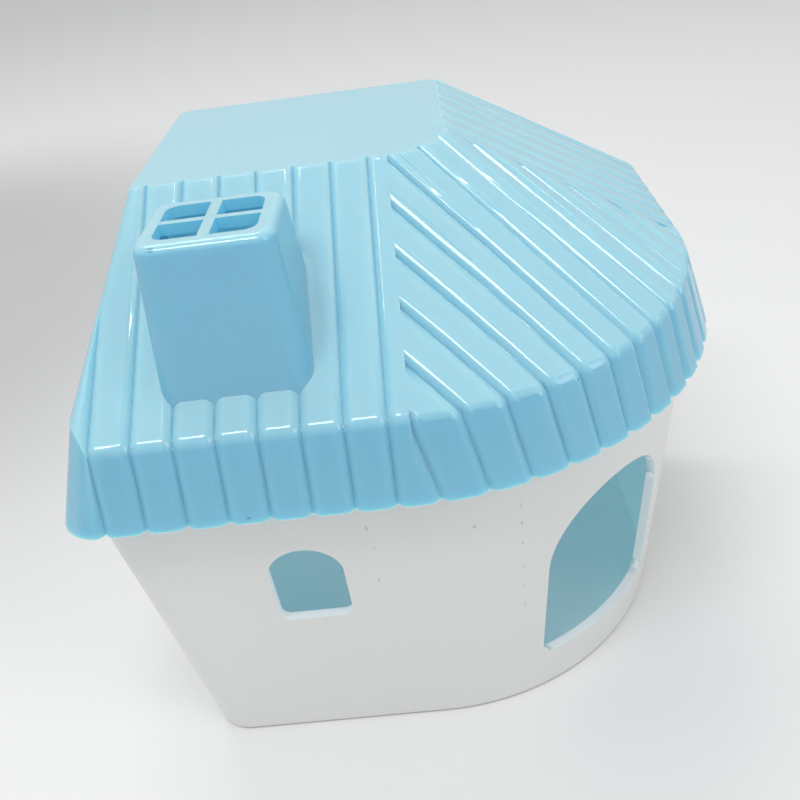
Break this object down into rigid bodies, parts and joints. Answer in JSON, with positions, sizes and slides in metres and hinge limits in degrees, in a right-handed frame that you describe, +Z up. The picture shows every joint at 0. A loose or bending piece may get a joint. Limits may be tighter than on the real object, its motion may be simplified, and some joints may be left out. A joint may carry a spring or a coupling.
{
  "type": "small animal house",
  "caption": "Corner-shaped plastic hideout for a small pet: drafted base with an arched door and window, and a lift-off ribbed roof with a hollow vented chimney.",
  "frame": {"origin": "On the floor under the middle of the house's bounding box", "axes": "+Z up; the window wall faces -Y; the door is in the rounded wall between -Y and +X"},
  "size_m": [0.1306, 0.117, 0.1167],
  "materials": {
    "base": "satin",
    "roof": "gloss"
  },
  "bodies": {
    "root": {"base": "base", "roof": "roof"}
  },
  "joints": []
}
